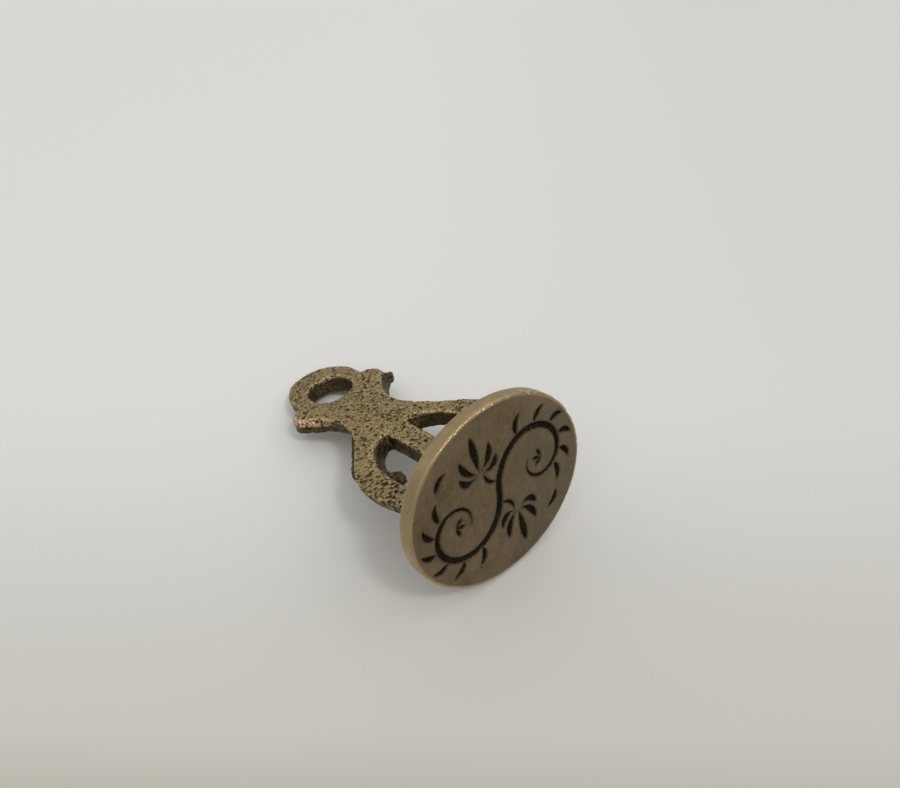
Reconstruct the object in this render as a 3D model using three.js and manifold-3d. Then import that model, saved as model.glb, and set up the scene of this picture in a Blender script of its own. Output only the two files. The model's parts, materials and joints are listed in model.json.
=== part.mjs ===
// A hand-held personal seal: an oval die plate with an engraved scroll ornament on its face, and a cast
// openwork handle with a hanging eye, hard-soldered to the back of the plate at its three feet.
// Sizes are in millimetres. The seal is modelled standing on its die face: X runs across the flat handle,
// Y through its thickness and Z up to the eye. At the end it is laid down, as it lies on a table.
import * as THREE from "three";
import { mergeVertices } from "three/addons/utils/BufferGeometryUtils.js";
import Module from "manifold-3d";

const wasm = await Module();
wasm.setup();

// Die plate
const DIE_HALF_WIDTH = 10.0;
const DIE_HALF_HEIGHT = 8.9;
const DIE_THICKNESS = 1.6;
const FACE_EDGE_RADIUS = 0.2;
const BACK_EDGE_RADIUS = 0.35;
const DIE_SIDES = 96;

// Handle casting: sizes in the plane of its front face
const SEAL_HEIGHT = 32.1; // from the die face to the top of the ring
const RING_RADIUS = 4.1;
const RING_FLAT = 1.1; // width of the worn flat at the ring's end
const EYE_RADIUS = 2.5;
const EYE_DROP = 1.0; // the eye sits this far below the ring's centre
const NOTCH_ANGLE = THREE.MathUtils.degToRad(12); // where the horn joins the ring, below its centre
const HORN_REACH = 5.6;
const HORN_DROP = 2.5; // from the ring's centre down to the horn's tip
const HORN_HEIGHT = 2.0; // thickness of the horn where it leaves the neck
const NECK_HALF_WIDTH = 3.05;
const NECK_DROP = 8.1; // from the ring's centre down to the narrowest place
const LEG_REACH = 8.15;
const LEG_WIDTH = 2.8;
const LEG_BULGE_HEIGHT = 9.2; // where the legs spread widest, above the die face
const MIDDLE_LEG_WIDTH = 2.4;
const ARCH_HEIGHT = 15.1; // top of the openings, above the die face
const FOOT_OUTER = 6.3;
const FOOT_WIDTH = 2.1;
const FOOT_SPLAY = 0.25; // how far a side leg runs outwards for each millimetre up from its foot

// Handle casting: sizes through its thickness. The front face is the one that looks up on the table.
const PLATE_THICKNESS = 1.8;
const EDGE_ROUNDING = 0.22;
const RING_FLARE = 0.3; // how much further out the ring stands at the back than at the front
const HORN_FLARE = 0.65; // the same for the horns
const LEG_TAPER = 0.3; // how much less the side legs reach out at the back
const OPENING_TAPER = 0.6; // how much narrower an opening is at the back, on each side
const EYE_TAPER = 0.4;
const MOULD_SHIFT = 0.5; // how far the back lies out of line with the front, towards the left leg

// Solder
const JOINT_GAP = 0.05; // what the solder's film fills between a foot and the die plate
const SOLDER_REACH = 0.55;
const SOLDER_HEIGHT = 0.7;
const SOLDER_LIP = 0.14; // thickness of the fillet's upper edge
const SOLDER_CLEARANCE = 0.04;

// Engraving
const CUT_DEPTH = 0.34;
const CUT_OVERRUN = 0.12; // how far a cutter stands out of the face
const ORNAMENT_TURN = THREE.MathUtils.degToRad(-9);
const STEM_HALF_WIDTH = 0.36;
const PETAL_HALF_WIDTH = 0.4;
const LEAF_HALF_WIDTH = 0.3;
const SPRIG_HALF_WIDTH = 0.2;
const SCROLL_CENTRE = new THREE.Vector2(4.9, 0.15);
const SCROLL_SWEEP = 6.9; // radians that each arm of the scroll winds through
const SCROLL_DECAY = 0.2; // share of its radius that an arm loses in each radian
const LEAF_COUNT = 6;
const LEAF_LENGTH = 2.1;
const FLEURON_ROOT = new THREE.Vector2(1.15, 3.0);
const FLEURON_HEIGHT = 3.8;

const CURVE_STEPS = 12;
const FOOT_OVERRUN = 1.5; // how far the feet run on below their seat before they are cut off square

const ringCentre = SEAL_HEIGHT - RING_RADIUS;
const seatHeight = DIE_THICKNESS + JOINT_GAP;

const brass = new THREE.MeshStandardMaterial({ color: 0x8c7a4e, roughness: 0.45, metalness: 0.9 });
const castBrass = new THREE.MeshStandardMaterial({ color: 0x85734a, roughness: 0.6, metalness: 0.85 });
const solder = new THREE.MeshStandardMaterial({ color: 0x8f8a72, roughness: 0.5, metalness: 0.85 });

function toManifold(geometry) {
  const bare = geometry.index ? geometry.toNonIndexed() : geometry.clone();
  bare.deleteAttribute("normal");
  bare.deleteAttribute("uv");
  const merged = mergeVertices(bare, 1e-4);
  return new wasm.Manifold(
    new wasm.Mesh({
      numProp: 3,
      vertProperties: new Float32Array(merged.attributes.position.array),
      triVerts: new Uint32Array(merged.index.array),
    }),
  );
}

function toGeometry(solid) {
  const mesh = solid.getMesh();
  const geometry = new THREE.BufferGeometry();
  geometry.setAttribute("position", new THREE.BufferAttribute(mesh.vertProperties, 3));
  geometry.setIndex(new THREE.BufferAttribute(mesh.triVerts, 1));
  const faceted = geometry.toNonIndexed();
  faceted.computeVertexNormals();
  return faceted;
}

// A closed body through a stack of level rings with equal counts of points, each anticlockwise from above.
function loft(rings) {
  const count = rings[0].length;
  const positions = rings.flat().flatMap((point) => [point.x, point.y, point.z]);
  const triangles = [];
  for (let level = 0; level + 1 < rings.length; level++) {
    for (let i = 0; i < count; i++) {
      const a = level * count + i;
      const b = level * count + ((i + 1) % count);
      triangles.push(a, b, b + count, a, b + count, a + count);
    }
  }
  const top = (rings.length - 1) * count;
  const flat = (ring) => ring.map((point) => new THREE.Vector2(point.x, point.y));
  for (const [a, b, c] of THREE.ShapeUtils.triangulateShape(flat(rings[0]), [])) triangles.push(a, c, b);
  for (const [a, b, c] of THREE.ShapeUtils.triangulateShape(flat(rings.at(-1)), [])) {
    triangles.push(top + a, top + b, top + c);
  }
  const geometry = new THREE.BufferGeometry();
  geometry.setAttribute("position", new THREE.Float32BufferAttribute(positions, 3));
  geometry.setIndex(triangles);
  return geometry;
}

// The die plate's oval at one height, taken in from its full size by an inset square to its edge.
function ovalRing(inset, z) {
  return Array.from({ length: DIE_SIDES }, (_, i) => {
    const angle = (2 * Math.PI * (i + 0.5)) / DIE_SIDES;
    const normal = new THREE.Vector2(Math.cos(angle) / DIE_HALF_WIDTH, Math.sin(angle) / DIE_HALF_HEIGHT);
    normal.normalize();
    return new THREE.Vector3(
      DIE_HALF_WIDTH * Math.cos(angle) - inset * normal.x,
      DIE_HALF_HEIGHT * Math.sin(angle) - inset * normal.y,
      z,
    );
  });
}

// A blank die plate: a small radius round its face and a larger one round its back.
function dieBlank() {
  const rings = [];
  for (const turn of [0, 0.5, 1]) {
    const angle = (turn * Math.PI) / 2;
    rings.push(ovalRing(FACE_EDGE_RADIUS * (1 - Math.sin(angle)), FACE_EDGE_RADIUS * (1 - Math.cos(angle))));
  }
  for (const turn of [0, 0.34, 0.67, 1]) {
    const angle = (turn * Math.PI) / 2;
    const rise = BACK_EDGE_RADIUS * (1 - Math.sin(angle));
    rings.push(ovalRing(BACK_EDGE_RADIUS * (1 - Math.cos(angle)), DIE_THICKNESS - rise));
  }
  return toManifold(loft(rings));
}

// The cutter of one engraved stroke: a V-shaped groove along a curve, pointed at both ends. The swell puts
// the widest place past the middle when it is over 1, and before it when it is under 1.
function groove(curve, halfWidth, steps, swell = 1) {
  const stations = [];
  for (let i = 1; i < steps; i++) {
    const t = i / steps;
    const fullness = Math.sin(Math.PI * t ** swell) ** 0.75;
    const side = curve(t + 0.01).sub(curve(t - 0.01)).normalize();
    const across = new THREE.Vector2(-side.y, side.x).multiplyScalar(halfWidth * fullness * 1.3);
    const middle = curve(t);
    const depth = CUT_DEPTH * Math.sqrt(fullness) * Math.min(1, halfWidth / LEAF_HALF_WIDTH);
    stations.push([
      new THREE.Vector3(middle.x - across.x, middle.y - across.y, -CUT_OVERRUN),
      new THREE.Vector3(middle.x + across.x, middle.y + across.y, -CUT_OVERRUN),
      new THREE.Vector3(middle.x, middle.y, depth),
    ]);
  }
  const start = curve(0);
  const end = curve(1);
  const points = [new THREE.Vector3(start.x, start.y, -CUT_OVERRUN), ...stations.flat()];
  points.push(new THREE.Vector3(end.x, end.y, -CUT_OVERRUN));
  const last = points.length - 1;
  const triangles = [0, 2, 1, 0, 1, 3, 0, 3, 2];
  for (let s = 0; s + 1 < stations.length; s++) {
    const here = 1 + 3 * s;
    for (const [a, b] of [[0, 1], [1, 2], [2, 0]]) {
      triangles.push(here + a, here + b, here + b + 3, here + a, here + b + 3, here + a + 3);
    }
  }
  triangles.push(last - 3, last - 2, last, last - 2, last - 1, last, last - 1, last - 3, last);
  const geometry = new THREE.BufferGeometry();
  geometry.setAttribute("position", new THREE.Float32BufferAttribute(points.flatMap((p) => [p.x, p.y, p.z]), 3));
  geometry.setIndex(triangles);
  const cutter = toManifold(geometry);
  if (cutter.volume() > 0) return cutter;
  for (let i = 0; i < triangles.length; i += 3) {
    [triangles[i + 1], triangles[i + 2]] = [triangles[i + 2], triangles[i + 1]];
  }
  geometry.setIndex(triangles);
  return toManifold(geometry);
}

const polar = (radius, degrees) => {
  const angle = THREE.MathUtils.degToRad(degrees);
  return new THREE.Vector2(radius * Math.cos(angle), radius * Math.sin(angle));
};

// A stroke that leaves a point in one direction and bends sideways by a share of its length.
function bent(from, length, degrees, bend) {
  const along = polar(length, degrees);
  const aside = new THREE.Vector2(-along.y, along.x).multiplyScalar(bend);
  return (t) =>
    from
      .clone()
      .addScaledVector(along, t)
      .addScaledVector(aside, 4 * t * (1 - t));
}

// A scroll that winds out of the face's middle to both sides, as one curve from eye to eye.
function scroll(t) {
  const share = 2 * t - 1;
  return scrollArm(SCROLL_SWEEP * Math.abs(share)).multiplyScalar(Math.sign(share) || 1);
}

// The right arm of the scroll, a spiral that leaves the face's middle, after a turn in radians.
function scrollArm(turn) {
  const spoke = SCROLL_CENTRE.clone().negate().rotateAround(new THREE.Vector2(), turn);
  return spoke.multiplyScalar(Math.exp(-SCROLL_DECAY * turn)).add(SCROLL_CENTRE);
}

// The ornament's strokes. All but the scroll stand twice, the second time turned by half a turn.
function ornamentStrokes() {
  const strokes = [{ curve: scroll, halfWidth: STEM_HALF_WIDTH, steps: 52, swell: 1 }];
  const pair = (curve, halfWidth, steps, swell) => {
    strokes.push({ curve, halfWidth, steps, swell });
    strokes.push({ curve: (t) => curve(t).negate(), halfWidth, steps, swell });
  };
  for (let leaf = 0; leaf < LEAF_COUNT; leaf++) {
    const root = scrollArm(1.25 + 0.56 * leaf);
    const spoke = root.clone().sub(SCROLL_CENTRE);
    const outwards = THREE.MathUtils.radToDeg(spoke.angle());
    root.add(spoke.setLength(STEM_HALF_WIDTH + 0.02));
    const length = LEAF_LENGTH * (1 - 0.22 * Math.sin((Math.PI * (leaf + 0.5)) / LEAF_COUNT));
    pair(bent(root, length, outwards + 48, -0.16), LEAF_HALF_WIDTH, 7, 0.85);
  }
  // A bud in the scroll's eye
  for (const degrees of [150, 205, 260]) {
    pair(bent(SCROLL_CENTRE.clone().add(polar(0.45, 20)), 1.05, degrees, 0), SPRIG_HALF_WIDTH, 5, 1.3);
  }
  // A fleuron of five petals on a stalk
  pair(bent(new THREE.Vector2(-0.25, 1.25), 2.0, 60, -0.2), SPRIG_HALF_WIDTH, 6, 1);
  for (const [lean, share] of [[0, 1], [32, 0.7], [-32, 0.7], [62, 0.5], [-62, 0.5]]) {
    const degrees = 96 + lean;
    const root = FLEURON_ROOT.clone().add(polar(0.5, degrees));
    const halfWidth = PETAL_HALF_WIDTH * (lean ? 0.85 : 1);
    pair(bent(root, FLEURON_HEIGHT * share, degrees, 0.0045 * lean), halfWidth, 7, 1.35);
  }
  // A sprig beside the rim
  pair(bent(new THREE.Vector2(5.6, 5.0), 1.9, 146, -0.17), LEAF_HALF_WIDTH, 6, 1);
  return strokes;
}

function engravedDie() {
  return ornamentStrokes().reduce((die, { curve, halfWidth, steps, swell }) => {
    const onFace = (t) => curve(t).rotateAround(new THREE.Vector2(), ORNAMENT_TURN);
    return die.subtract(groove(onFace, halfWidth, steps, swell));
  }, dieBlank());
}

// One half of the handle's outside from its foot up to the ring, as a start point and Bezier curves. It is
// taken at a depth from 0 at the front to 1 at the back, and moved outwards by the growth. The foot's end
// lies below the seat so that it can be cut off square.
function outsideHalf(growth, depth) {
  const foot = FOOT_OUTER - LEG_TAPER * depth + growth;
  const reach = LEG_REACH - LEG_TAPER * depth + growth;
  const neck = NECK_HALF_WIDTH + growth;
  const horn = HORN_REACH + HORN_FLARE * depth + growth;
  const ring = RING_RADIUS + RING_FLARE * depth + growth;
  const footRise = LEG_BULGE_HEIGHT - seatHeight;
  const neckHeight = ringCentre - NECK_DROP;
  const legRise = neckHeight - LEG_BULGE_HEIGHT;
  const hornHeight = ringCentre - HORN_DROP;
  const under = [horn - 0.45, hornHeight - 0.45 * HORN_HEIGHT - 0.5 * growth];
  const over = [horn - 0.7, hornHeight + 0.5 * HORN_HEIGHT + 0.5 * growth];
  const hornRise = under[1] - neckHeight;
  const ringEnd = [ring * Math.cos(NOTCH_ANGLE), ringCentre - ring * Math.sin(NOTCH_ANGLE)];
  return {
    start: [foot - FOOT_SPLAY * FOOT_OVERRUN, seatHeight - FOOT_OVERRUN],
    curves: [
      // up the outside of the leg
      [foot + 0.3 * FOOT_SPLAY * footRise, seatHeight + 0.3 * footRise,
        reach, LEG_BULGE_HEIGHT - 0.36 * footRise, reach, LEG_BULGE_HEIGHT],
      // in to the neck
      [reach, LEG_BULGE_HEIGHT + 0.36 * legRise, neck, neckHeight - 0.36 * legRise, neck, neckHeight],
      // out along the under side of the horn and round its tip
      [neck, neckHeight + 0.42 * hornRise, under[0] - 0.8, under[1] - 1.0, ...under],
      [under[0] + 0.22, under[1] + 0.26, horn, hornHeight - 0.35, horn, hornHeight],
      // back over the horn into the notch beside the ring
      [horn, hornHeight + 0.45, over[0] + 0.3, over[1] - 0.2, ...over],
      [over[0] - 0.35, over[1] + 0.18, ringEnd[0] + 0.12, ringEnd[1] - 0.4, ...ringEnd],
    ],
  };
}

// The whole outside of the handle as points, anticlockwise.
function outside(growth, depth) {
  const half = outsideHalf(growth, depth);
  const ring = RING_RADIUS + RING_FLARE * depth + growth;
  const flat = Math.asin(RING_FLAT / 2 / ring);
  const shape = new THREE.Shape();
  shape.moveTo(...half.start);
  for (const curve of half.curves) shape.bezierCurveTo(...curve);
  shape.absarc(0, ringCentre, ring, -NOTCH_ANGLE, Math.PI / 2 - flat, false);
  shape.absarc(0, ringCentre, ring, Math.PI / 2 + flat, Math.PI + NOTCH_ANGLE, false);
  const ends = [half.start, ...half.curves.map((curve) => curve.slice(4))];
  for (let i = half.curves.length - 1; i >= 0; i--) {
    const [ax, ay, bx, by] = half.curves[i];
    shape.bezierCurveTo(-bx, by, -ax, ay, -ends[i][0], ends[i][1]);
  }
  return shape.getPoints(CURVE_STEPS);
}

// One opening between a side leg and the middle one as points, anticlockwise. It narrows by the growth of
// the metal round it, and runs out below the seat.
function opening(side, growth, depth) {
  const taper = OPENING_TAPER * depth + growth;
  const inner = LEG_REACH - LEG_WIDTH - taper;
  const footInner = FOOT_OUTER - FOOT_WIDTH - taper;
  const middle = MIDDLE_LEG_WIDTH / 2 + taper;
  const arch = ARCH_HEIGHT - 1.4 * taper;
  const rise = LEG_BULGE_HEIGHT - seatHeight;
  const shape = new THREE.Shape();
  shape.moveTo(middle, seatHeight - FOOT_OVERRUN);
  shape.lineTo(footInner - FOOT_SPLAY * FOOT_OVERRUN, seatHeight - FOOT_OVERRUN);
  shape.bezierCurveTo(footInner + 0.3 * FOOT_SPLAY * rise, seatHeight + 0.3 * rise,
    inner, LEG_BULGE_HEIGHT - 0.36 * rise, inner, LEG_BULGE_HEIGHT);
  shape.bezierCurveTo(inner, LEG_BULGE_HEIGHT + 0.5 * (arch - LEG_BULGE_HEIGHT),
    middle + 0.6 * (inner - middle), arch - 0.4, middle + 0.16 * (inner - middle), arch);
  shape.bezierCurveTo(middle + 0.06 * (inner - middle), arch + 0.1, middle, arch, middle, arch - 0.45);
  const points = shape.getPoints(CURVE_STEPS);
  return side > 0 ? points : points.map((point) => new THREE.Vector2(-point.x, point.y)).reverse();
}

// The eye as points, anticlockwise. It was drilled after the casting, so the mould's shift is taken back.
function eye(growth, depth) {
  const circle = new THREE.Shape();
  const radius = EYE_RADIUS - EYE_TAPER * depth - growth;
  circle.absarc(MOULD_SHIFT * depth, ringCentre - EYE_DROP, radius, 0, 2 * Math.PI, false);
  return circle.getPoints(CURVE_STEPS).slice(0, -1);
}

// A wall of the casting from its back to its front. Both edges are rounded, and a hole's cutter runs on past
// both faces.
function wall(outline, growth, overrun) {
  const half = PLATE_THICKNESS / 2 + growth;
  const levels = [];
  for (const turn of [0, 1 / 3, 2 / 3, 1]) {
    const angle = (turn * Math.PI) / 2;
    levels.push({ z: EDGE_ROUNDING * (1 - Math.cos(angle)) - half, inset: EDGE_ROUNDING * (1 - Math.sin(angle)) });
  }
  levels.push(...levels.map(({ z, inset }) => ({ z: -z, inset })).reverse());
  if (overrun) {
    levels.unshift({ z: levels[0].z - overrun, inset: EDGE_ROUNDING });
    levels.push({ z: levels.at(-1).z + overrun, inset: EDGE_ROUNDING });
  }
  return toManifold(
    loft(
      levels.map(({ z, inset }) => {
        const depth = THREE.MathUtils.clamp((half - z) / (2 * half), 0, 1);
        const points = outline(growth - inset, depth);
        return points.map((point) => new THREE.Vector3(point.x - MOULD_SHIFT * depth, point.y, z));
      }),
    ),
  );
}

// The handle casting, standing on its seat and grown on every side by an allowance.
function handleBody(growth) {
  const below = new THREE.BoxGeometry(4 * LEG_REACH, 2 * FOOT_OVERRUN, 4 * PLATE_THICKNESS);
  below.translate(0, seatHeight - growth - FOOT_OVERRUN, 0);
  return [eye, (...at) => opening(1, ...at), (...at) => opening(-1, ...at)]
    .reduce((body, hole) => body.subtract(wall(hole, growth, CUT_OVERRUN)), wall(outside, growth, 0))
    .subtract(toManifold(below))
    .rotate([90, 0, 0])
    .mirror([0, 1, 0]); // the outline's second axis is Z now, and the front face looks to +Y
}

// The section of one foot where it stands on the die plate, as four corners from its back left one.
function footSection(foot) {
  const middle = MIDDLE_LEG_WIDTH / 2;
  const inner = FOOT_OUTER - FOOT_WIDTH;
  const [left, right] = foot === 0 ? [-middle, middle] : foot > 0 ? [inner, FOOT_OUTER] : [-FOOT_OUTER, -inner];
  const leftFlare = foot < 0 ? -LEG_TAPER : OPENING_TAPER;
  const rightFlare = foot > 0 ? -LEG_TAPER : OPENING_TAPER;
  const half = PLATE_THICKNESS / 2;
  return [
    new THREE.Vector2(left - leftFlare - MOULD_SHIFT, -half),
    new THREE.Vector2(right + rightFlare - MOULD_SHIFT, -half),
    new THREE.Vector2(right, half),
    new THREE.Vector2(left, half),
  ];
}

// A convex outline moved outwards, with a round at each corner.
function roundedOut(corners, distance, steps) {
  return corners.flatMap((corner, i) => {
    const before = corner.clone().sub(corners.at(i - 1)).angle() - Math.PI / 2;
    const after = corners[(i + 1) % corners.length].clone().sub(corner).angle() - Math.PI / 2;
    const turn = THREE.MathUtils.euclideanModulo(after - before, 2 * Math.PI);
    return Array.from({ length: steps + 1 }, (_, step) => {
      const angle = before + (turn * step) / steps;
      return new THREE.Vector2(Math.cos(angle), Math.sin(angle)).multiplyScalar(distance).add(corner);
    });
  });
}

// The fillet of solder round one foot: hollow where the foot stands, and sweeping out to a thin edge below.
function solderFillet(foot) {
  const rings = [0, 0.16, 0.4, 0.7, 1].map((level) => {
    const reach = SOLDER_LIP + (SOLDER_REACH - SOLDER_LIP) * (1 - level) ** 2.4;
    const lean = foot * FOOT_SPLAY * level * SOLDER_HEIGHT;
    const z = DIE_THICKNESS + SOLDER_CLEARANCE / 2 + level * SOLDER_HEIGHT;
    return roundedOut(footSection(foot), reach, 6).map((point) => new THREE.Vector3(point.x + lean, point.y, z));
  });
  return toManifold(loft(rings)).subtract(handleBody(SOLDER_CLEARANCE));
}

function named(name, solid, material) {
  const mesh = new THREE.Mesh(toGeometry(solid), material);
  mesh.name = name;
  return mesh;
}

const seal = new THREE.Group();
seal.add(named("die_plate", engravedDie(), brass));
seal.add(named("openwork_handle", handleBody(0), castBrass));
seal.add(named("solder_left_foot", solderFillet(-1), solder));
seal.add(named("solder_middle_foot", solderFillet(0), solder));
seal.add(named("solder_right_foot", solderFillet(1), solder));

// The seal lying down: the handle points to -X, its right leg to -Y, and it slopes down to the ring.
function layDown(slope) {
  const across = new THREE.Vector3(0, -1, 0);
  const through = new THREE.Vector3(-Math.sin(slope), 0, Math.cos(slope));
  const along = new THREE.Vector3(-Math.cos(slope), 0, -Math.sin(slope));
  seal.setRotationFromMatrix(new THREE.Matrix4().makeBasis(across, through, along));
  seal.updateMatrixWorld(true);
}

const lowest = (name) => new THREE.Box3().setFromObject(seal.getObjectByName(name), true).min.z;

// The slope at which the die plate's rim and the ring's edge touch the table together, found by halving.
function restingSlope() {
  let low = 0;
  let high = Math.PI / 3;
  for (let step = 0; step < 40; step++) {
    const middle = (low + high) / 2;
    layDown(middle);
    if (lowest("openwork_handle") > lowest("die_plate")) low = middle;
    else high = middle;
  }
  return (low + high) / 2;
}

layDown(restingSlope());
const box = new THREE.Box3().setFromObject(seal, true);
seal.position.set(-(box.min.x + box.max.x) / 2, -(box.min.y + box.max.y) / 2, -box.min.z);

const part = new THREE.Group();
part.add(seal);
export default part;
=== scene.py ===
"""A hand-held brass seal on a pale table: an oval engraved die plate, a flat cast openwork handle with
a hanging eye, and the hard solder round the handle's three feet. The shape functions work in
millimetres, in the seal's own axes: X across the handle, Y through its thickness and Z from the die
face to the eye."""

import json
import math

import bpy
import numpy as np
from mathutils import Matrix, Vector


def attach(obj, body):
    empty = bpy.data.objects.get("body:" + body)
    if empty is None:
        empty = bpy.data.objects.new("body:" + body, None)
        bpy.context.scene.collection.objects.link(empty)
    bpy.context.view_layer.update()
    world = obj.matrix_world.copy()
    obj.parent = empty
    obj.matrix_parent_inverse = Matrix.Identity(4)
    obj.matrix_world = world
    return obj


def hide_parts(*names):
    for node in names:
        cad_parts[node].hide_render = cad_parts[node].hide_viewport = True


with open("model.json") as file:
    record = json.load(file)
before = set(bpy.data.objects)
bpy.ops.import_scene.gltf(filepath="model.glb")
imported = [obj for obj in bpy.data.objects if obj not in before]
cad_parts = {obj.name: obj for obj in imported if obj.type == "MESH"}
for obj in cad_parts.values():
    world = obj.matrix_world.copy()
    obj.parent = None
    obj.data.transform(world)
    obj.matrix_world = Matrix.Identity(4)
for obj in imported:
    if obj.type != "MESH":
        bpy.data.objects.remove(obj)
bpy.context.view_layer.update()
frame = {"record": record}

bl_info = {
    "name": "Brass seal",
    "version": (1, 0, 0),
    "blender": (4, 5, 0),
    "location": "3D View > Sidebar > Seal",
    "description": "Builds an engraved brass seal with a cast openwork handle",
    "category": "Add Mesh",
}

MM = 0.001

# Die plate, as the solid model has it
DIE_THICKNESS = 1.6
FACE_EDGE = 0.2
BACK_EDGE = 0.35

# Handle casting, as the solid model has it
SEAL_HEIGHT = 32.1
RING_RADIUS = 4.1
EYE_DROP = 1.0
NOTCH_ANGLE = math.radians(12)
RING_CENTRE = SEAL_HEIGHT - RING_RADIUS
HORN_REACH = 5.6
HORN_DROP = 2.5
HORN_HEIGHT = 2.0
NECK_HALF_WIDTH = 3.05
NECK_DROP = 8.1
LEG_REACH = 8.15
LEG_WIDTH = 2.8
LEG_BULGE_HEIGHT = 9.2
MIDDLE_LEG_WIDTH = 2.4
ARCH_HEIGHT = 15.1
FOOT_OUTER = 6.3
FOOT_WIDTH = 2.1
FOOT_SPLAY = 0.25
FOOT_OVERRUN = 1.5
RING_FLARE = 0.3
HORN_FLARE = 0.65
LEG_TAPER = 0.3
OPENING_TAPER = 0.6
EYE_TAPER = 0.4
MOULD_SHIFT = 0.5
SEAT_HEIGHT = DIE_THICKNESS + 0.05

# Engraving
ORNAMENT_TURN = math.radians(-9)
BARE_SPOT = np.array([1.8, 0.6])  # the die face's mount, on bare metal between two strokes
STEM_HALF_WIDTH = 0.36
PETAL_HALF_WIDTH = 0.4
LEAF_HALF_WIDTH = 0.3
SPRIG_HALF_WIDTH = 0.2
SCROLL_CENTRE = np.array([4.9, 0.15])
SCROLL_SWEEP = 6.9
SCROLL_DECAY = 0.2
LEAF_COUNT = 6
LEAF_LENGTH = 2.1
FLEURON_ROOT = np.array([1.15, 3.0])
FLEURON_HEIGHT = 3.8
CUT_MARGIN = 0.4  # how far beside a stroke its distance is worked out

# Casting skin: the mould sand's waves, each with its height, size and seed, and the pits
SAND_WAVES = ((0.04, 1.7, 1), (0.055, 0.55, 2), (0.045, 0.3, 3))
PIT_SPACING = 0.42
PIT_DEPTH = 0.15
PIT_BEND = 0.09
PIT_SEED = 20
SKIN_REACH = 0.3  # how far from the surface both are worked out

# Flash and chips of the casting: the middle and radii of an ellipsoid each
OPENING_FLASH = ((4.25, -0.5, 10.1), (0.95, 0.4, 1.05))
HORN_KNOB = ((-6.2, -0.5, 25.2), (0.75, 0.45, 0.55))
KNOB_ROOT = ((-6.15, -0.75, 24.6), (0.5, 0.25, 0.5))
LEG_CHIPS = (((8.1, 1.0, 8.7), (0.5, 0.4, 0.3)), ((7.75, 1.05, 12.6), (0.35, 0.3, 0.45)))
FIN_HALF_THICKNESS = 0.3
FIN_WIDTH = 0.48
LEG_BELLY = 0.4

# The box that the casting is meshed in
FIELD_LEFT, FIELD_RIGHT = -9.2, 9.0
FIELD_HEIGHT = 31.4
FIELD_MARGIN = 0.45

# Nicks in the die's rim: angle, height, half width and bite, from the least to the most
NICK_COUNT = 24
LEAST_NICK = (1.2, 0.0, 0.1, 0.03)
GREATEST_NICK = (4.8, 0.4, 0.28, 0.14)


def mount(name):
    """One of the frame's mounts."""
    return next(m for m in frame["record"]["mounts"] if m["name"] == name)


def turned(points, angle):
    """Plane points turned anticlockwise about the origin."""
    c, s = math.cos(angle), math.sin(angle)
    return points @ np.array([[c, s], [-s, c]])


# The seal's axes and the middle of its die face, from the two mounts
AXES = np.array([[0.0, -1.0, 0.0], mount("eye_face")["axis"], -np.array(mount("die_face")["axis"])])
FACE_CENTRE = np.array(mount("die_face")["pos_m"]) / MM - turned(BARE_SPOT, ORNAMENT_TURN) @ AXES[:2]


def in_place(points):
    """Points in the seal's axes and millimetres, brought to where the seal lies, in metres."""
    return (FACE_CENTRE + points @ AXES) * MM


# Noise


def cell_hash(cells, seed):
    """A steady random number from 0 to 1 for each cell of a lattice: its numbers times large primes are
    added up, and the sum's bits are mixed."""
    i, j, k = np.moveaxis(cells.astype(np.int64), -1, 0)
    mixed = i * 374761393 + j * 668265263 + k * 1274126177 + seed * 97531
    mixed = (mixed ^ (mixed >> 13)) * 1274126177
    mixed = mixed ^ (mixed >> 16)
    return (mixed & 0xFFFFFF) / 0x1000000


def soft_noise(points, size, seed):
    """Smooth noise from -1 to 1: the hashes of a lattice's eight nearest points, by 3t^2 - 2t^3."""
    scaled = points / size
    cell = np.floor(scaled)
    t = scaled - cell
    t = t * t * (3 - 2 * t)
    total = 0.0
    for corner in np.ndindex(2, 2, 2):
        weight = np.prod(np.where(corner, t, 1 - t), axis=-1)
        total = total + weight * cell_hash(cell + corner, seed)
    return 2 * total - 1


def waves(points, layers):
    """The sum of soft noises, each given by its height, size and seed."""
    return sum(height * soft_noise(points, size, seed) for height, size, seed in layers)


# Meshes


def set_down(name, data):
    """A new object in the scene."""
    item = bpy.data.objects.new(name, data)
    bpy.context.scene.collection.objects.link(item)
    return item


def new_piece(name, points, faces, material, replaced, attributes=None):
    """A smooth mesh object at the origin that stands for a node of the frame."""
    mesh = bpy.data.meshes.new(name)
    mesh.vertices.add(len(points))
    mesh.vertices.foreach_set("co", in_place(points).astype(np.float32).ravel())
    corners = np.concatenate([group.ravel() for group in faces])
    sizes = np.concatenate([np.full(len(group), group.shape[1]) for group in faces])
    mesh.loops.add(len(corners))
    mesh.loops.foreach_set("vertex_index", corners.astype(np.int32))
    mesh.polygons.add(len(sizes))
    mesh.polygons.foreach_set("loop_start", (np.cumsum(sizes) - sizes).astype(np.int32))
    mesh.polygons.foreach_set("use_smooth", np.ones(len(sizes), bool))
    mesh.update(calc_edges=True)
    mesh.validate()
    for key, values in (attributes or {}).items():
        layer = mesh.attributes.new(key, "FLOAT", "POINT")
        layer.data.foreach_set("value", values.astype(np.float32))
    piece = set_down(name, mesh)
    mesh.materials.append(material)
    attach(piece, "root")
    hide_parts(replaced)


def at_height(plane, height):
    """Plane points with one height or a row of heights."""
    return np.column_stack([plane, np.broadcast_to(height, len(plane))])


def ring_quads(rings):
    """Quads between neighbouring rings of vertex numbers, anticlockwise round the axis they climb."""
    return [
        np.stack([lower, np.roll(lower, -1), np.roll(upper, -1), upper], axis=1)
        for lower, upper in zip(rings, rings[1:])
    ]


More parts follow.
